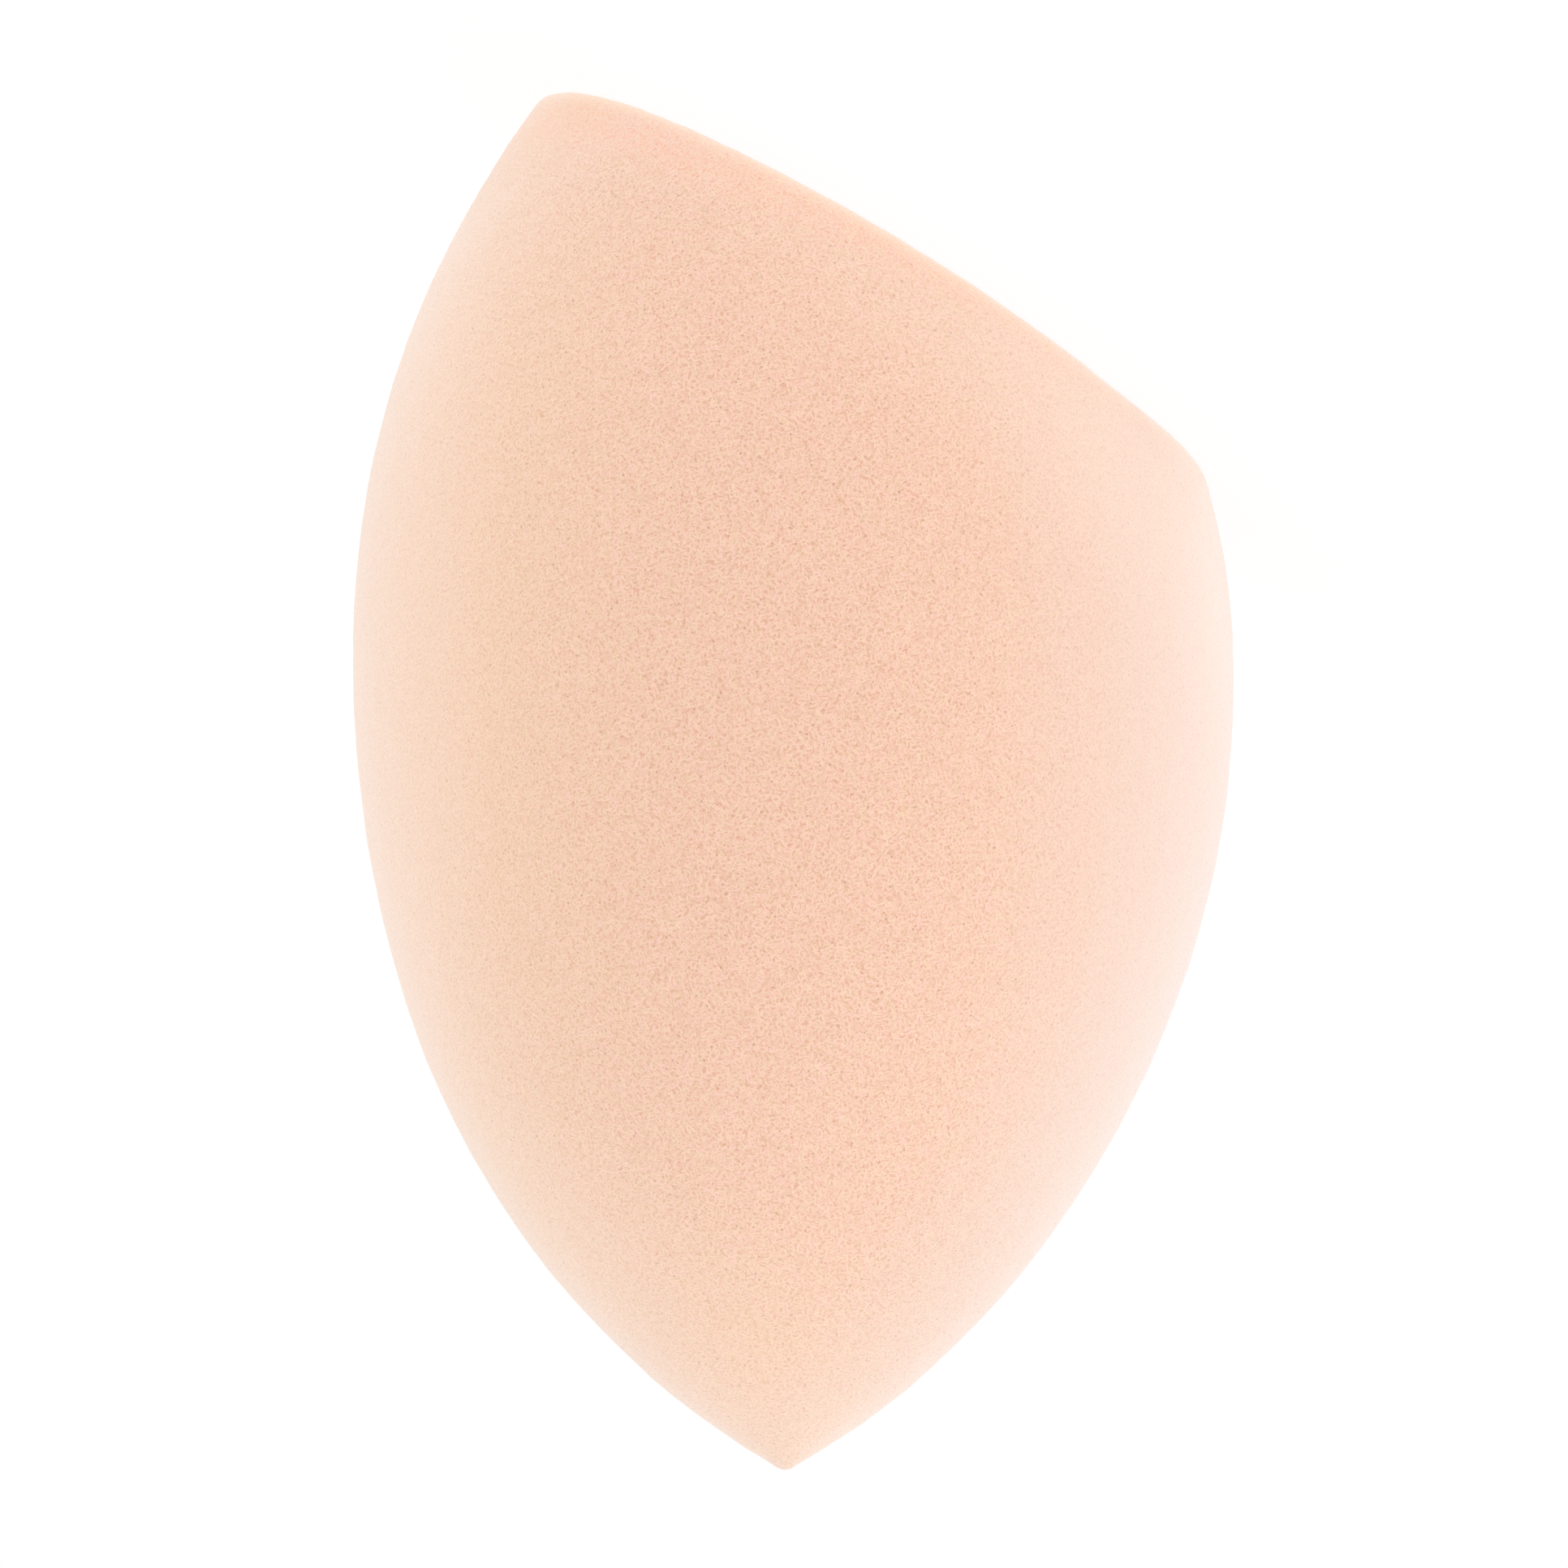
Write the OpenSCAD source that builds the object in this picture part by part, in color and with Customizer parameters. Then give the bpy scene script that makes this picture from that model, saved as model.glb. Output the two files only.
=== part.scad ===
// A slant-cut makeup sponge, standing on its cut face with the tip up.
// It is a turned drop of foam, pointed at one end and cut off at a slant at the other,
// with a thin coat of adhesive and a coat of short fibres all over.
// Millimetres. The origin is the middle of the cut face, +Z points away from the face,
// and the tip leans towards -X. The sponge is the same on both sides of the XZ plane.

/* [Drop] */
// Diameter at the widest ring, over the fibres
drop_d = 40; // [34:0.5:48]
// Length from the widest ring to the tip
tip_len = 36; // [30:0.1:44]
// Radius of the tip's rounding
tip_round_r = 1.2; // [1:0.1:2.5]
// Radius of the flank's curve between the widest ring and the cut
cut_flank_r = 48; // [42:0.5:70]

/* [Slanted cut] */
// Lean of the drop's axis from the square to the cut face, in degrees
cut_lean = 30.5; // [20:0.5:36]
// Distance along the axis from the widest ring to the cut face
cut_dist = 19.5; // [17:0.1:22]

/* [Coats] */
// Height of the fibre coat
pile_h = 0.4; // [0.2:0.05:0.7]
// Thickness of the adhesive coat under the fibres
bond_t = 0.1; // [0.05:0.01:0.2]

/* [Quality] */
// Sides that a full circle is drawn with
circle_sides = 180; // [96:12:240]

/* [Hidden] */

$fn = circle_sides;

// How far the cutting shapes run past what they cut
overrun = 5;

drop_r = drop_d / 2;

// The flank is two arcs that meet at the widest ring, each centred in the plane of that ring.
// One curves in towards the tip and runs smoothly into the tip's rounding, whose centre is on the
// axis, and the other curves in towards the cut.
round_centre_z = tip_len - tip_round_r;
tip_flank_r = (drop_r * drop_r + round_centre_z * round_centre_z - tip_round_r * tip_round_r)
    / (2 * (drop_r - tip_round_r));
// Height over the widest ring at which the flank runs into the rounding
round_start_z = round_centre_z * tip_flank_r / (tip_flank_r - tip_round_r);

// Where the cut face crosses the flank on its long and on its short side, measured along the
// face from the drop's axis. Each is a root of the line of the face set into the arc.
arc_back = cut_flank_r - drop_r;
arc_rest = cut_flank_r * cut_flank_r - arc_back * arc_back - cut_dist * cut_dist;
long_slope = arc_back * cos(cut_lean) + cut_dist * sin(cut_lean);
short_slope = arc_back * cos(cut_lean) - cut_dist * sin(cut_lean);
long_side_x = sqrt(long_slope * long_slope + arc_rest) - long_slope;
short_side_x = sqrt(short_slope * short_slope + arc_rest) - short_slope;

// The drop's axis crosses the face this far from the middle of the face
axis_x = (short_side_x - long_side_x) / 2;

// Half of the drop's outline, an inset in from the outside: the tip's rounding, the flank below
// it and the flank towards the cut
module half_outline(inset) {
    // The line between rounding and flank moves in with them, towards their centres
    start_z = round_start_z - inset * round_centre_z / (tip_flank_r - tip_round_r);
    disc_band([0, round_centre_z], tip_round_r - inset, start_z, tip_len);
    disc_band([drop_r - tip_flank_r, 0], tip_flank_r - inset, 0, start_z);
    disc_band([drop_r - cut_flank_r, 0], cut_flank_r - inset, -cut_flank_r, 0);
}

// The part of a disc that lies in front of the axis and between two heights
module disc_band(centre, r, low, high) {
    intersection() {
        translate(centre) circle(r = r);
        translate([0, low]) square([drop_r, high - low]);
    }
}

// The whole pointed drop, leaning over the cut face, an inset in from the outside
module leaning_drop(inset) {
    translate([axis_x, 0, 0])
        rotate([0, -cut_lean, 0])
            translate([0, 0, cut_dist])
                rotate_extrude() half_outline(inset);
}

// Everything at or over a level above the cut face
module over_level(level) {
    reach = drop_d + tip_len + overrun;
    translate([-reach, -reach, level]) cube([2 * reach, 2 * reach, 2 * reach]);
}

// A slab between two levels above the cut face
module slab(low, high) {
    reach = drop_d + overrun;
    translate([-reach, -reach, low]) cube([2 * reach, 2 * reach, high - low]);
}

// The drop above a level, with the given inset at its flank
module cut_drop(inset, level) {
    intersection() {
        leaning_drop(inset);
        over_level(level);
    }
}

// A coat on the flank: the drop above a level, less the drop inside it
module flank_coat(outer_inset, thickness, level) {
    difference() {
        cut_drop(outer_inset, level);
        leaning_drop(outer_inset + thickness);
    }
}

// A coat on the cut face, inside the flank's coat
module face_coat(inset, low, high) {
    intersection() {
        leaning_drop(inset);
        slab(low, high);
    }
}

// The soft foam body
module foam_core() {
    color("#f0c3a8") cut_drop(pile_h + bond_t, pile_h + bond_t);
}

// Adhesive on the foam's flank
module side_bond() {
    color("#f3dccb") flank_coat(pile_h, bond_t, pile_h);
}

// Adhesive on the foam's cut face
module face_bond() {
    color("#f3dccb") face_coat(pile_h + bond_t, pile_h, pile_h + bond_t);
}

// Short fibres standing on the flank
module side_pile() {
    color("#f6ceb6") flank_coat(0, pile_h, 0);
}

// Short fibres standing on the cut face
module face_pile() {
    color("#f4c9ae") face_coat(pile_h, 0, pile_h);
}

foam_core();
side_bond();
face_bond();
side_pile();
face_pile();
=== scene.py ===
import math

import bmesh
import bpy
import numpy as np
from mathutils import Matrix, Vector, noise


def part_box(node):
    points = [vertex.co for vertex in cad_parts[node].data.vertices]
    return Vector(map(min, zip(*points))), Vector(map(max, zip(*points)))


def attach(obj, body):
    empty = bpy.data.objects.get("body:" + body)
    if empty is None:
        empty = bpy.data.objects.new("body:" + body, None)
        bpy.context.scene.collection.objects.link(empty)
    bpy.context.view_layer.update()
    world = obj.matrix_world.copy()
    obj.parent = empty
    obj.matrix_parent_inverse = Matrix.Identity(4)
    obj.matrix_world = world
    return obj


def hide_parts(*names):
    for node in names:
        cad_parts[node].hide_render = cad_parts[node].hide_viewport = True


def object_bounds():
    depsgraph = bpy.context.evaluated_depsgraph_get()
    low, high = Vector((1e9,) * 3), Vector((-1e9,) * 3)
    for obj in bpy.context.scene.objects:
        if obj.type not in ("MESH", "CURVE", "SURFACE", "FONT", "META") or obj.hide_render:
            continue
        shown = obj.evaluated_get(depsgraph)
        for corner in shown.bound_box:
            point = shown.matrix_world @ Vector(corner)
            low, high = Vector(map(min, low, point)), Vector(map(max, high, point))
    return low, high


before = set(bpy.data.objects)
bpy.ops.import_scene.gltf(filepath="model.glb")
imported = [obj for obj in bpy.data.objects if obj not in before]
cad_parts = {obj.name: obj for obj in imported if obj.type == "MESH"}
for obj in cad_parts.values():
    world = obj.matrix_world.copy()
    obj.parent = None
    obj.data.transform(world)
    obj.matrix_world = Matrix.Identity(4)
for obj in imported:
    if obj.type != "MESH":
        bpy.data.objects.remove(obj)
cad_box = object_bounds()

MM = 0.001
# Keeps a division from being by zero
TINY = 1e-12
# An angle this little under zero counts as zero
ANGLE_SLACK = 1e-9

# The drop, as in the solid model but for its finer tip. It leans towards -X over its cut face.
PILE_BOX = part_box("side_pile")
DROP_R = (PILE_BOX[1].y - PILE_BOX[0].y) / 2
TIP_LEN = 35.75 * MM
TIP_ROUND_R = 0.6 * MM
CUT_FLANK_R = 48 * MM
CUT_LEAN = math.radians(30.5)
CUT_DIST = 19.5 * MM
PILE_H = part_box("face_pile")[1].z
BOND_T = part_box("face_bond")[1].z - PILE_H

# The rim between flank and face is soft, which the solid model leaves out
RIM_ROUND_R = 0.5 * MM
# Hidden skins keep this far clear of what lies under them
CLEARANCE = 0.01 * MM

# The long side is ground a little flat in its middle: how deep, where along the axis, how long.
# Nearer the axis than the last value, the side fades out.
FLAT_DEPTH = 0.185 * MM
FLAT_CENTRE = 5.5 * MM
FLAT_PERIOD = 37 * MM
SIDE_FADE_R = DROP_R / 4
# The long side's rim is blunt: how much, and up to what level
BLUNT_DEPTH, BLUNT_LEVEL = 0.10 * MM, 0.6 * MM
# The flank is full towards the point: how much, where along the axis and over what length
FULLNESS = ((0.13 * MM, 28.3 * MM, 5.2 * MM), (0.12 * MM, 32.7 * MM, 2.1 * MM))
# The cut isn't quite the plain oval, and its short end is squared. The oval's half length and half
# width, and on both sides: how far out, at what angle from the short end and over what angle, and
# over what height above the face it fades
OVAL = np.array((18.15, 16.35)) * MM
OFF_OVAL = (
    (0.83 * MM, math.radians(35), math.radians(12.3), 4 * MM),
    (-0.40 * MM, 0.0, math.radians(25), 1.25 * MM),
    (0.40 * MM, math.radians(145), math.radians(21), 10 * MM),
)
# Points outside the oval move further than those on it, but at most by this many times
OFF_OVAL_MOST = 1.7
# Relief of the outside, as length and height of its waves and a shift that sets them apart: left
# by the grinding, and the fibres' own
UNEVEN = (9 * MM, 0.05 * MM, 3.0)
LUMPS = (2.2 * MM, 0.02 * MM, 0.0)
TUFTS = (0.75 * MM, 0.022 * MM, 9.0)
# Relief of the foam under the coats
CELLS = (0.9 * MM, 0.03 * MM, 0.0)

# Quads across the cap at the tip, rings down the flank and quads across the face: of the outside,
# of the skins that are hidden, and of the foam
CAP_QUADS, FLANK_RINGS, FACE_QUADS = 104, 172, 196
HIDDEN_QUADS, HIDDEN_RINGS = 26, 40
CORE_QUADS, CORE_RINGS = 52, 90
# Share of the way down the flank that the cap covers
CAP_SHARE = 0.24
# The turn between faces from which an edge is shaded as sharp, as where a coat's skins meet
SHARP_FROM = math.radians(60)
# How often the search for the rim halves its range, how often a point steps onto a rounded
# surface, and the small step that gives the surface's slope
RIM_HALVINGS = 40
SETTLING_STEPS = 12
SLOPE_STEP = 1e-3 * MM

# The photo's camera, fitted to the outline. Its sensor and lens are in millimetres of their own.
VIEW_DIST = 600 * MM
VIEW_ELEVATION = math.radians(9.76)
VIEW_ROLL = math.radians(148.53)
VIEW_WIDTH = 71.01 * MM
VIEW_TARGET = Vector((-7.70 * MM, 0, 20.96 * MM))
SENSOR_WIDTH = 36


# The drop's shape: an outline turned about its own axis, with the widest ring at zero

# Where the tip's rounding has its centre, the radius of the flank's arc up to it, how far beyond
# the axis the arcs on both sides of the widest ring have theirs, and the angle of the rounding's end
ROUND_CENTRE = TIP_LEN - TIP_ROUND_R
TIP_FLANK_R = (DROP_R**2 + ROUND_CENTRE**2 - TIP_ROUND_R**2) / (2 * (DROP_R - TIP_ROUND_R))
TIP_BACK = TIP_FLANK_R - DROP_R
CUT_BACK = CUT_FLANK_R - DROP_R
ROUNDING_END = math.atan2(ROUND_CENTRE, TIP_BACK)


def face_crossing(side):
    """How far from the axis the face crosses the flank, on its long side at 1 or its short side at -1."""
    slope = CUT_BACK * math.cos(CUT_LEAN) + side * CUT_DIST * math.sin(CUT_LEAN)
    rest = CUT_FLANK_R**2 - CUT_BACK**2 - CUT_DIST**2
    return math.sqrt(slope**2 + rest) - slope


# Where the drop's axis crosses the face, and the change from the drop's own axes to the row's
AXIS_X = (face_crossing(-1) - face_crossing(1)) / 2
DROP_TO_ROW = np.array(
    Matrix.Translation((AXIS_X, 0, 0))
    @ Matrix.Rotation(-CUT_LEAN, 4, "Y")
    @ Matrix.Translation((0, 0, CUT_DIST))
)
ROW_TO_DROP = np.linalg.inv(DROP_TO_ROW)


def moved(points, matrix):
    """Points taken through a matrix of four by four."""
    return points @ matrix[:3, :3].T + matrix[:3, 3]


def on_outline(run, around, inset):
    """The place in the row's axes at this run along the outline from the tip, at an angle round it."""
    round_r, tip_r, cut_r = TIP_ROUND_R - inset, TIP_FLANK_R - inset, CUT_FLANK_R - inset
    round_turn = math.pi / 2 - ROUNDING_END
    tip_run = run - round_r * round_turn
    cut_run = tip_run - tip_r * ROUNDING_END
    turn = run / round_r
    tip_angle = ROUNDING_END - tip_run / tip_r
    cut_angle = cut_run / cut_r
    parts = [tip_run < 0, cut_run < 0]
    rho = np.select(
        parts,
        [round_r * np.sin(turn), tip_r * np.cos(tip_angle) - TIP_BACK],
        cut_r * np.cos(cut_angle) - CUT_BACK,
    )
    z = np.select(
        parts,
        [ROUND_CENTRE + round_r * np.cos(turn), tip_r * np.sin(tip_angle)],
        -cut_r * np.sin(cut_angle),
    )
    local = np.stack([rho * np.cos(around), rho * np.sin(around), z], -1)
    return moved(local, DROP_TO_ROW)


def rim_run(around, inset, level):
    """The run along the outline at which the flank comes down to a level over the face."""
    near, far = np.zeros(len(around)), np.full(len(around), 2 * TIP_LEN)
    for _ in range(RIM_HALVINGS):
        middle = (near + far) / 2
        over = on_outline(middle, around, inset)[:, 2] > level
        near, far = np.where(over, middle, near), np.where(over, far, middle)
    return near


def flank_depth(points):
    """How deep points in the row's axes lie inside the drop's flank."""
    x, y, z = moved(points, ROW_TO_DROP).T
    rho = np.hypot(x, y)
    in_rounding = (z - ROUND_CENTRE) * TIP_BACK > rho * ROUND_CENTRE
    return np.select(
        [z < 0, in_rounding],
        [
            CUT_FLANK_R - np.hypot(rho + CUT_BACK, z),
            TIP_ROUND_R - np.hypot(rho, z - ROUND_CENTRE),
        ],
        TIP_FLANK_R - np.hypot(rho + TIP_BACK, z),
    )


class Body:
    """The drop moved in by inset and cut off at a level over the face, with its rim rounded.
    Its flank's skin goes round the rim onto the face by lip."""

    def __init__(self, inset=0.0, level=0.0, rim_r=0.0, lip=0.0, relief=None):
        self.inset, self.level, self.rim_r, self.lip = inset, level, rim_r, lip
        self.relief = relief

    def depth(self, points):
        """How deep points lie inside the body."""
        side = flank_depth(points) - self.inset
        face = points[:, 2] - self.level
        near_rim = (side < self.rim_r) & (face < self.rim_r)
        rounded = self.rim_r - np.hypot(self.rim_r - side, self.rim_r - face)
        return np.where(near_rim, rounded, np.minimum(side, face))

    def inward(self, points):
        """The shortest way in at each point, as a vector of length 1."""
        slope = np.empty_like(points)
        for axis in range(3):
            shift = np.zeros(3)
            shift[axis] = SLOPE_STEP
            slope[:, axis] = self.depth(points + shift) - self.depth(points - shift)
        return slope / np.maximum(np.linalg.norm(slope, axis=1, keepdims=True), TINY)

    def settled(self, points):
        """Points beside the surface, moved onto it, out by the relief and off the plain oval."""
        if self.rim_r:
            for _ in range(SETTLING_STEPS):
                points = points - self.depth(points)[:, None] * self.inward(points)
        if self.relief:
            points = points - self.relief(points)[:, None] * self.inward(points)
        return off_oval(points)

    def border(self, around):
        """Where the flank's skin ends and the face's begins, before the rim is rounded."""
        inset = self.inset + self.lip
        return on_outline(rim_run(around, inset, self.level), around, inset)

    def on_flank(self, around, share):
        """Places at a share of the way from the tip to the border."""
        end = rim_run(around, self.inset, self.level)
        lip = self.border(around) - on_outline(end, around, self.inset)
        lip_run = np.linalg.norm(lip, axis=1)
        run = share * (end + lip_run)
        onto_face = np.clip((run - end) / np.maximum(lip_run, TINY), 0, 1)
        points = on_outline(np.minimum(run, end), around, self.inset) + lip * onto_face[:, None]
        return self.settled(points)

    def on_face(self, around, share):
        """Places at a share of the way from the middle of the face to the border."""
        middle = np.array((0, 0, self.level))
        return self.settled(middle + (self.border(around) - middle) * share[:, None])


def off_oval(points):
    """Points of any skin moved level with the face, to where the cut's real outline has them."""
    across = points[:, :2] / OVAL
    angle = np.arctan2(across[:, 1], -across[:, 0])
    level = np.maximum(points[:, 2], 0)
    out = np.zeros(len(points))
    for side in (1, -1):
        for far, at, over, height in OFF_OVAL:
            off = np.mod(side * angle - at + math.pi, 2 * math.pi) - math.pi
            out += far * np.exp(-((off / over) ** 2) - level / height)
    way = across / OVAL
    way /= np.maximum(np.linalg.norm(way, axis=1, keepdims=True), TINY)
    shift = (out * np.minimum((across**2).sum(1), OFF_OVAL_MOST))[:, None] * way
    return points + np.pad(shift, ((0, 0), (0, 1)))


def waves(points, length, height, apart):
    """Smooth random relief."""
    scale = 1 / length
    shift = Vector((apart, 0, apart))
    return height * np.array([noise.noise(Vector(p * scale) + shift) for p in points])


def hand_ground(points):
    """Where the real sponge departs a little from the plain drop."""
    x, y, along = moved(points, ROW_TO_DROP).T
    level = np.maximum(points[:, 2], 0)
    towards_x = x / np.maximum(np.hypot(x, y), SIDE_FADE_R)
    long_side = np.clip(towards_x, 0, 1) ** 2
    flat = -FLAT_DEPTH * np.cos(2 * math.pi * (along - FLAT_CENTRE) / FLAT_PERIOD)
    blunt = -BLUNT_DEPTH * np.exp(-level / BLUNT_LEVEL)
    full = sum(most * np.exp(-(((along - centre) / reach) ** 2)) for most, centre, reach in FULLNESS)
    return long_side * (flat + blunt) + full


def outside_relief(points):
    """The relief of the fibre coat. It dies out on the face, which stays flat to stand on."""
    lift = np.clip(points[:, 2] / RIM_ROUND_R, 0, 1)
    fine = waves(points, *LUMPS) + waves(points, *TUFTS)
    coarse = waves(points, *UNEVEN) + hand_ground(points)
    return lift * coarse + fine - (1 - lift) * (LUMPS[1] + TUFTS[1])


def core_relief(points):
    """Shallow pits of the foam's cells, inwards only."""
    return waves(points, *CELLS) - CELLS[1]


# Meshes: square grids drawn out to discs, and rings


def disc_grid(quads):
    """A square grid drawn out to a disc: each point's angle and share of the radius, the faces, and
    the points of its rim in order."""
    line = np.linspace(-1, 1, quads + 1)
    a, b = (side.ravel() for side in np.meshgrid(line, line, indexing="ij"))
    share = np.maximum(abs(a), abs(b))
    by_a = math.pi / 4 * b / np.where(a == 0, 1, a) + np.where(a < 0, math.pi, 0)
    by_b = math.pi / 4 * (2 - a / np.where(b == 0, 1, b)) + np.where(b < 0, math.pi, 0)
    around = np.where(abs(a) >= abs(b), by_a, by_b)
    around = np.mod(around + ANGLE_SLACK, 2 * math.pi) - ANGLE_SLACK
    grid = np.arange(len(a)).reshape(quads + 1, quads + 1)
    corners = grid[:-1, :-1], grid[1:, :-1], grid[1:, 1:], grid[:-1, 1:]
    faces = np.stack(corners, -1).reshape(-1, 4)
    rim = np.nonzero(share == 1)[0]
    return around, share, faces, rim[np.argsort(around[rim])]


class Net:
    """A mesh that grows by rings and discs."""

    def __init__(self):
        self.points, self.faces, self.count = [], [], 0

    def add(self, points):
        """Adds points and returns their numbers in the mesh."""
        self.points.append(points)
        self.count += len(points)
        return np.arange(self.count - len(points), self.count)

    def disc(self, place, quads, reach=1.0, rim=None):
        """A disc whose rim, if one is given, is a ring that is there already. Returns its rim."""
        around, share, faces, edge = disc_grid(quads)
        ids = np.empty(len(around), int)
        new = np.ones(len(around), bool)
        if rim is not None:
            new[edge] = False
            ids[edge] = rim
        ids[new] = self.add(place(around[new], share[new] * reach))
        self.faces += ids[faces].tolist()
        return ids[edge]

    def ring(self, place, count, share):
        """A ring of points, evenly apart in their angle, at a share of the way to the border."""
        around = np.arange(count) * 2 * math.pi / count
        return self.add(place(around, np.full(count, share)))

    def strip(self, one, other):
        """Faces between two rings, of which one may have twice as many points as the other."""
        if len(one) < len(other):
            one, other = other, one
        after = np.roll(other, -1)
        if len(one) == len(other):
            self.faces += np.stack([one, np.roll(one, -1), after, other], -1).tolist()
            return
        first, middle, last = one[::2], one[1::2], np.roll(one, -2)[::2]
        for corners in ((first, middle, other), (middle, after, other), (middle, last, after)):
            self.faces += np.stack(corners, -1).tolist()

    def flank(self, body, quads, rings, border=None):
        """The flank's skin, from the cap at the tip to the border, which may be there already."""
        last = self.disc(body.on_flank, quads, CAP_SHARE)
        whole_ring = 4 * quads
        for share in np.linspace(CAP_SHARE, 1, rings + 1)[1:-1]:
            ring = self.ring(body.on_flank, whole_ring, share)
            self.strip(last, ring)
            last = ring
        if border is None:
            border = self.ring(body.on_flank, whole_ring, 1.0)
        # A border with more points is reached in steps that double the ring
        while 2 * len(last) < len(border):
            share = 1 - (1 - CAP_SHARE) / rings * len(last) / len(border)
            ring = self.ring(body.on_flank, 2 * len(last), share)
            self.strip(last, ring)
            last = ring
        self.strip(last, border)
        return border

    def piece(self, name, material):
        """The finished object, closed and smooth, with its faces turned outwards."""
        mesh = bpy.data.meshes.new(name)
        mesh.from_pydata(np.vstack(self.points).tolist(), [], self.faces)
        work = bmesh.new()
        work.from_mesh(mesh)
        bmesh.ops.recalc_face_normals(work, faces=work.faces)
        work.to_mesh(mesh)
        work.free()
        mesh.shade_smooth()
        mesh.set_sharp_from_angle(angle=SHARP_FROM)
        mesh.materials.append(material)
        piece = bpy.data.objects.new(name, mesh)
        bpy.context.scene.collection.objects.link(piece)
        return piece


# Materials


class Paint:
    """The nodes of a new material or of a tree that is there, with short calls to add and join them."""

    def __init__(self, name="", tree=None):
        if tree is None:
            self.material = bpy.data.materials.new(name)
            self.material.use_nodes = True
            tree = self.material.node_tree
            tree.nodes.clear()
        self.tree = tree

    def node(self, kind, inputs=None, **settings):
        made = self.tree.nodes.new(kind)
        for key, value in settings.items():
            setattr(made, key, value)
        for key, value in (inputs or {}).items():
            self.feed(made.inputs[key], value)
        return made

    def feed(self, socket, value):
        """Gives a socket a plain value, or joins it to the output of another node."""
        if isinstance(value, bpy.types.NodeSocket):
            self.tree.links.new(value, socket)
        else:
            socket.default_value = value

    def maths(self, operation, *values):
        made = self.node("ShaderNodeMath", dict(enumerate(values)), operation=operation)
        return made.outputs[0]

    def vector(self, operation, a, b=(0, 0, 0)):
        made = self.node("ShaderNodeVectorMath", {0: a, 1: b}, operation=operation)
        return made.outputs["Value" if operation == "DOT_PRODUCT" else "Vector"]

    def ramp(self, value, low, high, to_low=0.0, to_high=1.0):
        """A smooth change from one result to another as the value goes from low to high."""
        ends = {"From Min": low, "From Max": high, "To Min": to_low, "To Max": to_high}
        inputs = {"Value": value, **ends}
        made = self.node("ShaderNodeMapRange", inputs, interpolation_type="SMOOTHSTEP")
        return made.outputs["Result"]

    def blend(self, share, one, other, mode="MIX"):
        """One colour with a share of the other mixed in."""
        made = self.node("ShaderNodeMix", data_type="RGBA", blend_type=mode)
        # This node has sockets for each type of data. Those for colours are 6, 7 and, going out, 2.
        self.feed(made.inputs["Factor"], share)
        self.feed(made.inputs[6], one)
        self.feed(made.inputs[7], other)
        return made.outputs[2]

    def place(self, scale=1.0, shift=(0, 0, 0)):
        """The object's own coordinates in metres, times a scale."""
        coords = self.node("ShaderNodeTexCoord").outputs["Object"]
        inputs = {0: self.vector("ADD", coords, shift), "Scale": scale}
        return self.node("ShaderNodeVectorMath", inputs, operation="SCALE").outputs[0]

    def split(self, vector):
        """The parts X, Y and Z of a vector or colour."""
        return self.node("ShaderNodeSeparateXYZ", {0: vector}).outputs

    def cells(self, spacing, shift=(0, 0, 0), feature="F1"):
        """A random net of cells with this spacing."""
        inputs = {"Vector": self.place(1 / spacing, shift), "Scale": 1.0}
        return self.node("ShaderNodeTexVoronoi", inputs, feature=feature).outputs

    def bump(self, height, strength, distance):
        inputs = {"Strength": strength, "Distance": distance, "Height": height}
        return self.node("ShaderNodeBump", inputs).outputs["Normal"]

    def noise(self, length, detail, shift=(0, 0, 0)):
        inputs = {"Vector": self.place(1 / length, shift), "Scale": 1.0, "Detail": detail}
        return self.node("ShaderNodeTexNoise", inputs).outputs["Fac"]

    def finish(self, shader):
        self.node("ShaderNodeOutputMaterial", {"Surface": shader})
        return self.material


def srgb(red, green, blue):
    """A colour given as it shows on a screen, from 0 to 255."""
    parts = [c / 255 for c in (red, green, blue)]
    # The standard curve of screens, with its short straight start
    linear = [c / 12.92 if c <= 0.04045 else ((c + 0.055) / 1.055) ** 2.4 for c in parts]
    return (*linear, 1.0)


# Spacing, length and width of the layers of strands, and a shift that sets them apart
STRAND_LAYERS = (
    (0.27 * MM, 0.35 * MM, 0.135 * MM, (0.011, 0.0, 0.0)),
    (0.25 * MM, 0.31 * MM, 0.130 * MM, (0.0, 0.023, 0.0)),
    (0.29 * MM, 0.38 * MM, 0.140 * MM, (0.0, 0.0, 0.037)),
    (0.24 * MM, 0.30 * MM, 0.125 * MM, (0.019, 0.0, 0.013)),
    (0.26 * MM, 0.33 * MM, 0.130 * MM, (0.0, 0.031, 0.029)),
)
# How far a strand bends, its soft edge in half widths, and how high the lowest strands are
STRAND_BEND = 0.4
STRAND_EDGE = 1.2
STRAND_LOWEST = 0.5
# How far strands that cross melt into each other
STRAND_MELT = 0.12
# How much the strands stand out, and how high they are
STRAND_BUMP = (0.4, 0.043 * MM)
PILE_ROUGHNESS = (0.98, 0.88)
# Clumps in which the strands cover more: length and detail of the noise, its range, and how much
# they cover between the clumps
CLUMP_NOISE = (0.9 * MM, 3.0)
CLUMP_RANGE = (0.3, 0.7)
THIN_COVER = 0.92
# Colours of the strands and of the ground under them, painted as the shade between the strands, and the
# noise by which they change
TINGE_NOISE = (0.35 * MM, 2.0, (0.0, 0.0, 0.02))
TINGE_RANGE = (0.35, 0.65)
REDDER_GROUND_SHADE = srgb(229, 169, 135)
BROWNER_GROUND_SHADE = srgb(224, 173, 137)
PINKER_STRAND = srgb(254, 209, 188)
YELLOWER_STRAND = srgb(253, 212, 182)
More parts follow.
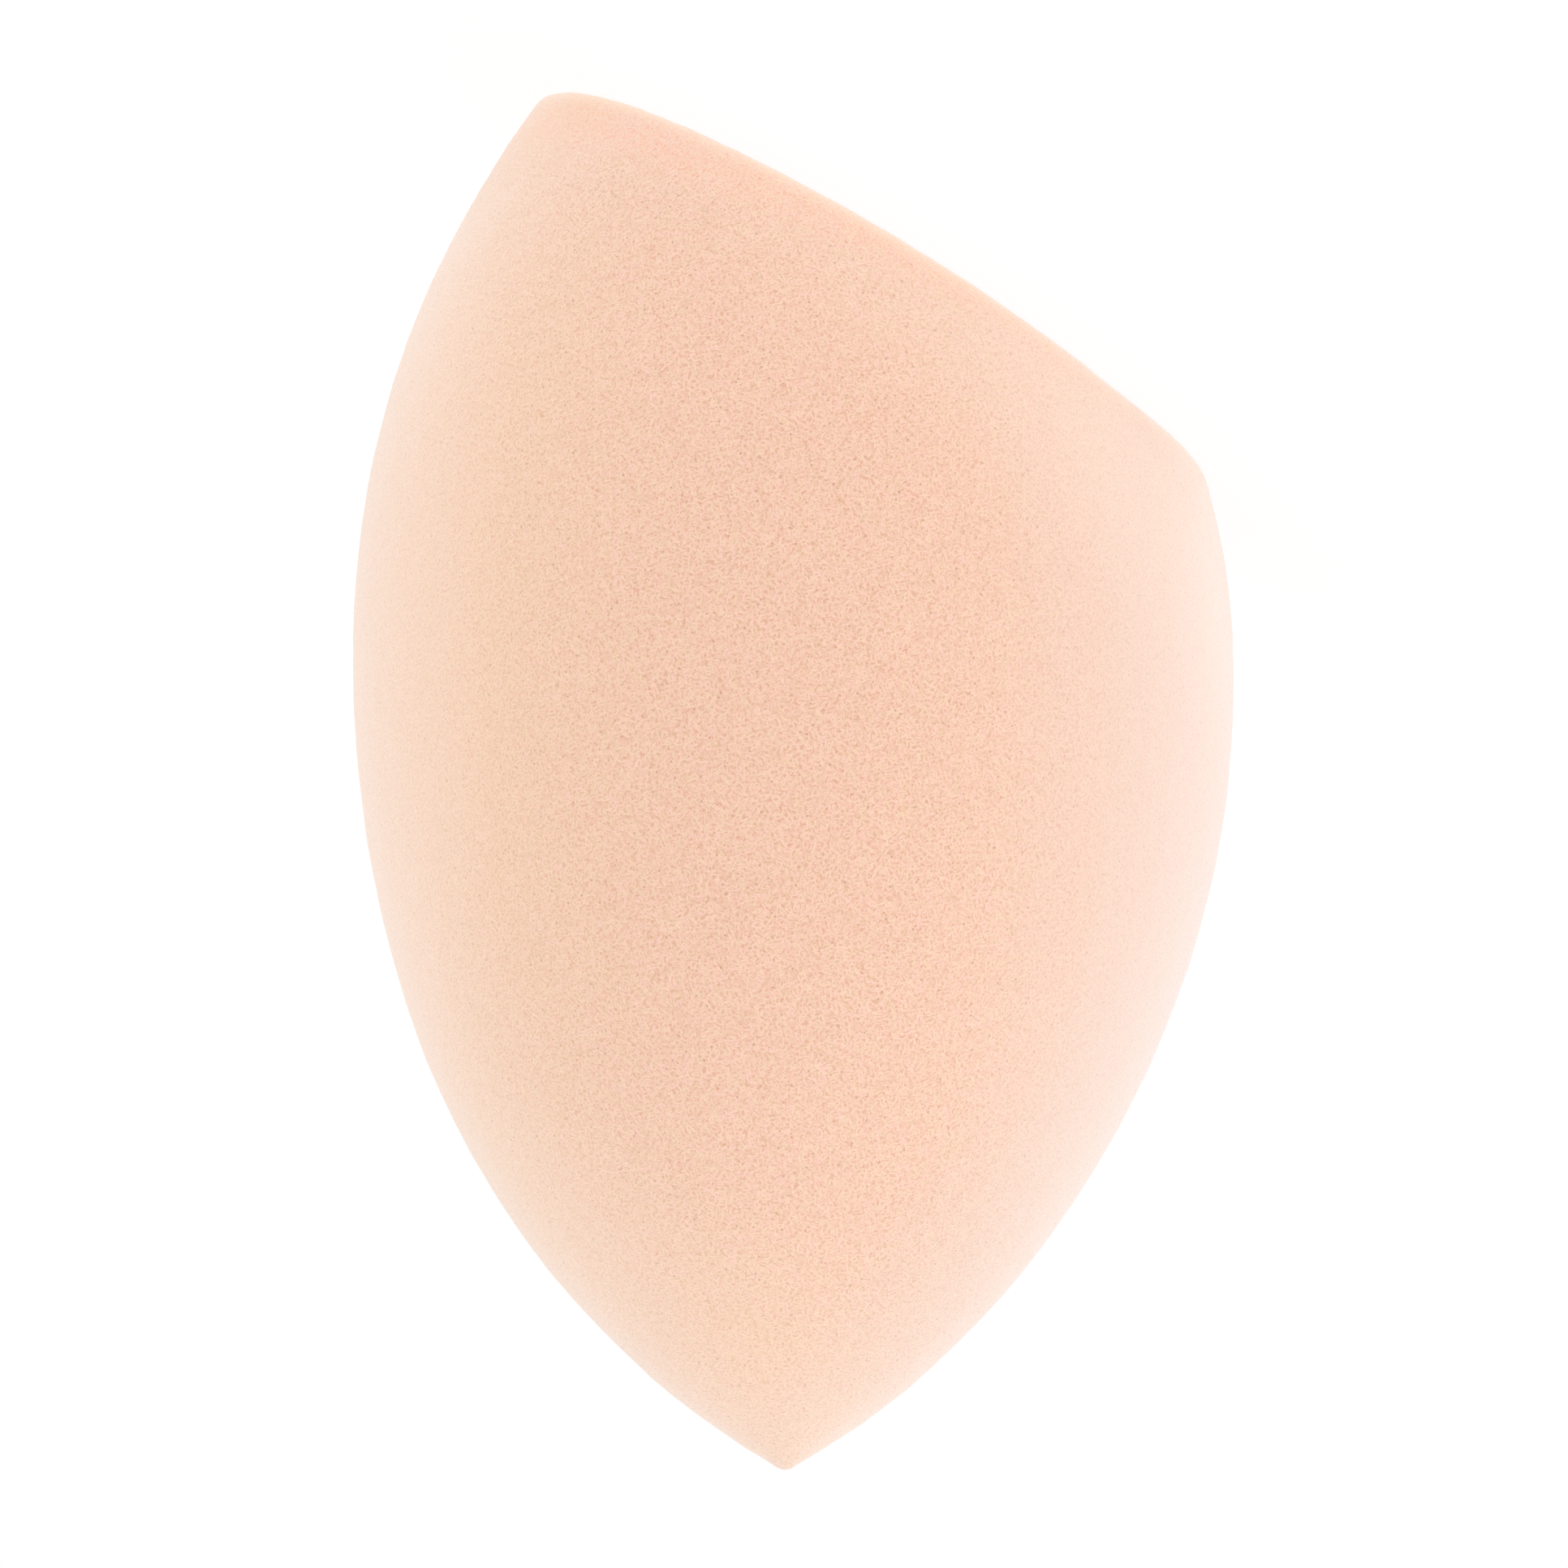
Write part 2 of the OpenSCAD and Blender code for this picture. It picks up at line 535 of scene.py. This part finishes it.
# Pinpricks, painted dark as the shade in these gaps: the net they lie in, their radius where gone and
# where full as a share of its spacing,
#  how many of its cells have one, how much of their colour shows, and which have which colour
PORE_NET = (0.3 * MM, (0.05, 0.01, 0.0))
PORE_RADIUS = (0.26, 0.08)
PORE_OFTEN = (0.4, 0.8)
PORE_SHARE = 0.8
PORE_TONES = (0.3, 0.7)
BROWN_PORE_SHADE = srgb(196, 146, 112)
ORANGE_PORE_SHADE = srgb(218, 142, 96)
# The coat's colour changes a little over the body, mostly as painted light and shade: how it changes, the
# way in which it does, the
#  colour, how much of it there is, and where it begins and is full
PAINTED_LIGHT_AND_TONE = (
    # Plainer and paler on the short side, as painted light from that side; more yellow on the long side;
    # paler on the long side's limb, as painted light; and darker on the short side's limb, as painted
    # shade that tempers the sheen there
    ("MIX", (-0.85, 0.0, -0.52), srgb(241, 196, 167), 0.50, -2 * MM, 16 * MM),
    ("MIX", (-0.85, 0.0, -0.52), srgb(233, 212, 203), 0.40, 1 * MM, 15 * MM),
    ("MIX", (-0.85, 0.0, -0.52), srgb(255, 217, 155), 0.22, -9 * MM, -22 * MM),
    ("MIX", (0.86, 0.0, 0.51), srgb(255, 215, 190), 0.25, 16.7 * MM, 21.7 * MM),
    ("MULTIPLY", (-0.71, 0.0, -0.70), srgb(255, 240, 232), 1.0, 10.6 * MM, 12.6 * MM),
    # Paler towards the cut, as painted light where the floor would shade the flank, and paler at the tip,
    # as painted light; duller on the tip's short side
    ("MIX", (0.2, 0.0, 1.0), srgb(255, 235, 215), 0.20, 8 * MM, 0 * MM),
    ("MIX", (0.0, 0.0, 1.0), srgb(255, 225, 184), 0.22, 38 * MM, 47 * MM),
    ("MIX", (-0.99, 0.0, 0.11), srgb(225, 205, 190), 0.25, 24.5 * MM, 30.5 * MM),
    # Redder along the cut, as painted light where the floor shades the rim, and darker and warmer at the
    # cut's long end, as painted shade
    ("LIGHTEN", (-0.09, 0.0, 1.0), srgb(248, 0, 0), 1.0, 2.4 * MM, 0.4 * MM),
    ("MULTIPLY", (0.87, 0.0, -0.49), srgb(253, 242, 223), 1.0, 11.2 * MM, 14.2 * MM),
)
# The rim is painted paler, as painted light on the rounded rim where the floor beside it would shade it:
# its colour, the levels where that is gone and full, how much of it there is at
#  the short and at the long end of the cut, and where along the cut that changes. It fades out
#  onto the face, as the normal turns down.
RIM_PAINTED_LIGHT_COLOUR = srgb(255, 225, 195)
RIM_LEVELS = (1.0 * MM, 0.1 * MM)
RIM_SHARES = (0.28, 0.58)
RIM_CHANGE = (-11 * MM, 5 * MM)
RIM_TURN = (-0.975, -0.92)


def strands(paint, spacing, length, width, shift):
    """How much of a strand lies at a place: short bent strands in all directions in the surface,
    one in each cell of a random net, some standing out more than others."""
    cells = paint.cells(spacing, shift)
    normal = paint.node("ShaderNodeNewGeometry").outputs["Normal"]
    away = paint.vector("SUBTRACT", paint.place(1 / spacing, shift), cells["Position"])
    lean = paint.vector("SUBTRACT", cells["Color"], (0.5, 0.5, 0.5))
    across = paint.vector("NORMALIZE", paint.vector("CROSS_PRODUCT", normal, lean))
    along = paint.vector("CROSS_PRODUCT", across, normal)
    off_line = paint.vector("DOT_PRODUCT", away, across)
    down_line = paint.vector("DOT_PRODUCT", away, along)
    tones = paint.split(cells["Color"])
    bend = paint.maths("MULTIPLY_ADD", tones["X"], 2 * STRAND_BEND, -STRAND_BEND)
    bow = paint.maths("MULTIPLY", paint.maths("MULTIPLY", down_line, down_line), bend)
    beside = paint.maths("ADD", off_line, bow)
    half_width = width / spacing / 2
    straight_part = length / spacing / 2 - half_width
    past_end = paint.maths("SUBTRACT", paint.maths("ABSOLUTE", down_line), straight_part)
    past_end = paint.maths("MAXIMUM", past_end, 0.0)
    squares = paint.maths("MULTIPLY_ADD", past_end, past_end, paint.maths("MULTIPLY", beside, beside))
    profile = paint.ramp(paint.maths("SQRT", squares), half_width * STRAND_EDGE, 0.0)
    return paint.maths("MULTIPLY", profile, paint.ramp(tones["Y"], 0.0, 1.0, STRAND_LOWEST, 1.0))


def pinpricks(paint):
    """How much of a pinprick gap lies at a place, and the colour of the painted shade in it."""
    cells = paint.cells(*PORE_NET)
    tones = paint.split(cells["Color"])
    often = paint.ramp(tones["X"], *PORE_OFTEN)
    pore = paint.maths("MULTIPLY", paint.ramp(cells["Distance"], *PORE_RADIUS), often)
    return pore, paint.blend(paint.ramp(tones["Z"], *PORE_TONES), BROWN_PORE_SHADE, ORANGE_PORE_SHADE)


def with_painted_light_and_tone(paint, colour):
    """The coat's colour with its slow changes over the body, most of them painted light and shade, and
    paler at the rim as painted light.
    """
    for mode, way, drift_colour, most, begin, full in PAINTED_LIGHT_AND_TONE:
        along = paint.vector("DOT_PRODUCT", paint.place(), way)
        # Each step paints a change of tone, or painted light or shade, over the body
        colour = paint.blend(paint.ramp(along, begin, full, 0.0, most), colour, drift_colour, mode)
    place = paint.split(paint.place())
    rim_share = paint.ramp(place["X"], *RIM_CHANGE, *RIM_SHARES)
    at_rim = paint.ramp(place["Z"], *RIM_LEVELS, 0.0, rim_share)
    upward = paint.split(paint.node("ShaderNodeNewGeometry").outputs["Normal"])["Z"]
    at_rim = paint.maths("MULTIPLY", at_rim, paint.ramp(upward, *RIM_TURN))
    # Painted light makes the rounded rim paler
    return paint.blend(at_rim, colour, RIM_PAINTED_LIGHT_COLOUR)


def pile_material(name):
    """Short pale fibres over darker ground, painted as the shade between them, with pinprick gaps painted
    dark as shade.
    """
    paint = Paint(name)
    height = 0.0
    for layer in STRAND_LAYERS:
        height = paint.maths("SMOOTH_MAX", height, strands(paint, *layer), STRAND_MELT)
    clumps = paint.ramp(paint.noise(*CLUMP_NOISE), *CLUMP_RANGE, THIN_COVER, 1.0)
    tinge = paint.ramp(paint.noise(*TINGE_NOISE), *TINGE_RANGE)
    strand_colour = paint.blend(tinge, PINKER_STRAND, YELLOWER_STRAND)
    # The ground between the strands is painted shade
    ground_shade_colour = paint.blend(tinge, REDDER_GROUND_SHADE, BROWNER_GROUND_SHADE)
    colour = paint.blend(paint.maths("MULTIPLY", height, clumps), ground_shade_colour, strand_colour)
    pore, pore_shade_colour = pinpricks(paint)
    # Pinpricks are painted dark as the shade in the gaps
    colour = paint.blend(paint.maths("MULTIPLY", pore, PORE_SHARE), colour, pore_shade_colour)
    height = paint.maths("SUBTRACT", height, pore)
    shader = paint.node(
        "ShaderNodeBsdfPrincipled",
        {
            "Base Color": with_painted_light_and_tone(paint, colour),
            "Roughness": paint.ramp(height, 0.0, 1.0, *PILE_ROUGHNESS),
            "Normal": paint.bump(height, *STRAND_BUMP),
            "Specular IOR Level": 0.15,
            "Sheen Weight": 0.82,
            "Sheen Roughness": 0.7,
            "Sheen Tint": (1.0, 1.0, 1.0, 1.0),
        },
    )
    return paint.finish(shader.outputs[0])


# Foam: size and weight of its cells, where a wall ends and a cell is full as shares of that size,
#  how much the walls stand out and how high they are, and the colours, with the cells darker as painted
#  shade in their pits
FOAM_CELLS = ((0.32 * MM, 0.6), (0.75 * MM, 0.4))
FOAM_WALL = (0.05, 0.3)
FOAM_BUMP = (0.6, 0.05 * MM)
FOAM_WALL_COLOUR = srgb(240, 196, 170)
FOAM_CELL_SHADE = srgb(214, 160, 132)


def foam_material(name):
    """Open-celled foam: a net of pale walls round darker cells of two sizes, their darkness painted shade
    in the pits.
    """
    paint = Paint(name)
    colour = FOAM_WALL_COLOUR
    height = 0.0
    for size, weight in FOAM_CELLS:
        cells = paint.cells(size, feature="DISTANCE_TO_EDGE")
        pit = paint.ramp(cells["Distance"], *FOAM_WALL)
        # The cells are painted darker, as the shade in their pits
        colour = paint.blend(paint.maths("MULTIPLY", pit, weight), colour, FOAM_CELL_SHADE)
        height = paint.maths("SUBTRACT", height, pit)
    shader = paint.node(
        "ShaderNodeBsdfPrincipled",
        {
            "Base Color": colour,
            "Roughness": 0.92,
            "Normal": paint.bump(height, *FOAM_BUMP),
            "Specular IOR Level": 0.2,
        },
    )
    return paint.finish(shader.outputs[0])


# Adhesive: noise and range of its streaks, their colours and roughness, and its fine dimples
STREAK_NOISE = (2.5 * MM, 4.0)
STREAK_RANGE = (0.35, 0.65)
STREAK_COLOURS = (srgb(243, 220, 203), srgb(236, 206, 186))
STREAK_ROUGHNESS = (0.42, 0.58)
DIMPLE_NOISE = (0.4 * MM, 3.0)
DIMPLE_BUMP = (0.3, 0.02 * MM)


def adhesive_material(name):
    """A dried coat of adhesive: pale, satin and a little streaky."""
    paint = Paint(name)
    streaks = paint.ramp(paint.noise(*STREAK_NOISE), *STREAK_RANGE)
    shader = paint.node(
        "ShaderNodeBsdfPrincipled",
        {
            "Base Color": paint.blend(streaks, *STREAK_COLOURS),
            "Roughness": paint.ramp(streaks, 0.0, 1.0, *STREAK_ROUGHNESS),
            "Normal": paint.bump(paint.noise(*DIMPLE_NOISE), *DIMPLE_BUMP),
        },
    )
    return paint.finish(shader.outputs[0])


# Pieces


def dress(piece, node):
    """Ties a soft piece to the solid it stands for."""
    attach(piece, "root")
    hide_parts(node)


def make_side_pile(material):
    """The fibre coat of the flank, round the soft rim and a little onto the face."""
    net = Net()
    outside = Body(rim_r=RIM_ROUND_R, lip=PILE_H, relief=outside_relief)
    border = net.flank(outside, CAP_QUADS, FLANK_RINGS)
    inside = Body(inset=PILE_H - CLEARANCE, level=PILE_H / 2)
    net.flank(inside, HIDDEN_QUADS, HIDDEN_RINGS, border)
    dress(net.piece("flank_fibres", material), "side_pile")


def make_face_pile(material):
    """The fibre coat of the cut face, inside the flank's coat."""
    net = Net()
    outside = Body(rim_r=RIM_ROUND_R, lip=PILE_H, relief=outside_relief)
    border = net.disc(outside.on_face, FACE_QUADS)
    inside = Body(inset=PILE_H + CLEARANCE, level=PILE_H - CLEARANCE)
    # The hidden skin has a quarter of the quads, and its points are doubled twice up to the border
    top = net.disc(inside.on_face, FACE_QUADS // 4)
    middle = net.ring(inside.on_face, 2 * len(top), 1.0)
    net.strip(top, middle)
    net.strip(middle, border)
    dress(net.piece("face_fibres", material), "face_pile")


def make_side_bond(material):
    """The adhesive coat of the flank, open at the cut."""
    net = Net()
    outer = Body(inset=PILE_H, level=PILE_H)
    inner = Body(inset=PILE_H + BOND_T - CLEARANCE, level=PILE_H)
    rims = [net.flank(body, HIDDEN_QUADS, HIDDEN_RINGS) for body in (outer, inner)]
    net.strip(*rims)
    dress(net.piece("flank_adhesive", material), "side_bond")


def make_face_bond(material):
    """The adhesive coat of the cut face."""
    net = Net()
    under = Body(inset=PILE_H + BOND_T + CLEARANCE, level=PILE_H)
    over = Body(inset=PILE_H + BOND_T + CLEARANCE, level=PILE_H + BOND_T - CLEARANCE)
    net.strip(net.disc(under.on_face, HIDDEN_QUADS), net.disc(over.on_face, HIDDEN_QUADS))
    dress(net.piece("face_adhesive", material), "face_bond")


def make_foam_core(material):
    """The foam under the coats."""
    net = Net()
    body = Body(inset=PILE_H + BOND_T, level=PILE_H + BOND_T, relief=core_relief)
    border = net.flank(body, CORE_QUADS, CORE_RINGS)
    net.disc(body.on_face, CORE_QUADS, rim=border)
    dress(net.piece("foam_body", material), "foam_core")


# Surroundings


# The floor's shade and its glow, as of a light table, as the object has them, and the same as the
# camera has them: nearly all glow, so that the floor is white and the object's shadow is faint
FLOOR_SHADE, FLOOR_GLOW = 0.4, 0.73
FLOOR_SHADE_SEEN, FLOOR_GLOW_SEEN = 0.09, 0.92
# How far the floor reaches each way, and how far under the object's lowest point it lies
FLOOR_REACH = 1500 * MM
FLOOR_DROP = 0.02 * MM
# The light from all round
WORLD_LEVEL = 0.91

# Softboxes round the middle of the object: name, direction and watts
SOFTBOX_DIST = 500 * MM
SOFTBOX_SIZE = 300 * MM
SOFTBOXES = (
    ("side", (-1, -0.1, 0.3), 0.26),
    ("high_back", (0.7, 0.6, 0.4), 0.17),
    ("over", (-0.4, 0, 0.9), 0.22),
)


def seen_straight(paint):
    """1 for rays that show the surroundings themselves, 0 for rays that light the object."""
    path = paint.node("ShaderNodeLightPath").outputs
    straight = paint.maths("MAXIMUM", path["Is Camera Ray"], path["Is Glossy Ray"])
    return paint.maths("MAXIMUM", straight, path["Is Transmission Ray"])


def make_floor():
    """A light table: white to the camera but for a light shadow, and glowing softly on the object."""
    near, far = -FLOOR_REACH, FLOOR_REACH
    corners = [(near, near, 0), (far, near, 0), (far, far, 0), (near, far, 0)]
    mesh = bpy.data.meshes.new("floor")
    mesh.from_pydata(corners, [], [(0, 1, 2, 3)])
    paint = Paint("floor_white")
    straight = seen_straight(paint)
    shade = paint.maths("MULTIPLY_ADD", straight, FLOOR_SHADE_SEEN - FLOOR_SHADE, FLOOR_SHADE)
    glow = paint.maths("MULTIPLY_ADD", straight, FLOOR_GLOW_SEEN - FLOOR_GLOW, FLOOR_GLOW)
    lit = paint.node("ShaderNodeBsdfDiffuse", {"Color": shade})
    white = paint.node("ShaderNodeEmission", {"Color": (1, 1, 1, 1), "Strength": glow})
    both = paint.node("ShaderNodeAddShader", {0: lit.outputs[0], 1: white.outputs[0]})
    mesh.materials.append(paint.finish(both.outputs[0]))
    floor = bpy.data.objects.new("floor", mesh)
    floor.location.z = -FLOOR_DROP
    bpy.context.scene.collection.objects.link(floor)


def make_world():
    """Even soft light from all round, and plain white behind the object."""
    world = bpy.data.worlds.new("studio")
    bpy.context.scene.world = world
    world.use_nodes = True
    world.node_tree.nodes.clear()
    paint = Paint(tree=world.node_tree)
    level = paint.maths("MULTIPLY_ADD", seen_straight(paint), 1 - WORLD_LEVEL, WORLD_LEVEL)
    backdrop = paint.node("ShaderNodeBackground", {"Color": (1, 1, 1, 1), "Strength": level})
    paint.node("ShaderNodeOutputWorld", {"Surface": backdrop.outputs[0]})


def make_lights():
    """Softboxes that aim at the middle of the object."""
    middle = (cad_box[0] + cad_box[1]) / 2
    for name, direction, watts in SOFTBOXES:
        lamp = bpy.data.lights.new(name, "AREA")
        lamp.shape = "DISK"
        lamp.size = SOFTBOX_SIZE
        lamp.energy = watts
        box = bpy.data.objects.new(name, lamp)
        away = Vector(direction).normalized()
        box.location = middle + away * SOFTBOX_DIST
        box.rotation_euler = (-away).to_track_quat("-Z", "Y").to_euler()
        bpy.context.scene.collection.objects.link(box)


def make_camera():
    """The photo's view: nearly level with the cut face, turned so that the tip points down."""
    back = Vector((0, -math.cos(VIEW_ELEVATION), math.sin(VIEW_ELEVATION)))
    side = Vector((1, 0, 0))
    up = back.cross(side)
    picture_x = side * math.cos(VIEW_ROLL) - up * math.sin(VIEW_ROLL)
    picture_y = side * math.sin(VIEW_ROLL) + up * math.cos(VIEW_ROLL)
    lens = bpy.data.cameras.new("camera")
    lens.sensor_width = SENSOR_WIDTH
    lens.lens = SENSOR_WIDTH * VIEW_DIST / VIEW_WIDTH
    camera = bpy.data.objects.new("camera", lens)
    camera.matrix_world = (
        Matrix.Translation(VIEW_TARGET + back * VIEW_DIST)
        @ Matrix((picture_x, picture_y, back)).transposed().to_4x4()
    )
    bpy.context.scene.collection.objects.link(camera)
    bpy.context.scene.camera = camera


make_camera()
pile = pile_material("pile_nude")
make_side_pile(pile)
make_face_pile(pile)
adhesive = adhesive_material("adhesive_dry")
make_side_bond(adhesive)
make_face_bond(adhesive)
make_foam_core(foam_material("foam_soft"))
make_floor()
make_world()
make_lights()
bpy.context.scene.view_settings.view_transform = "Standard"
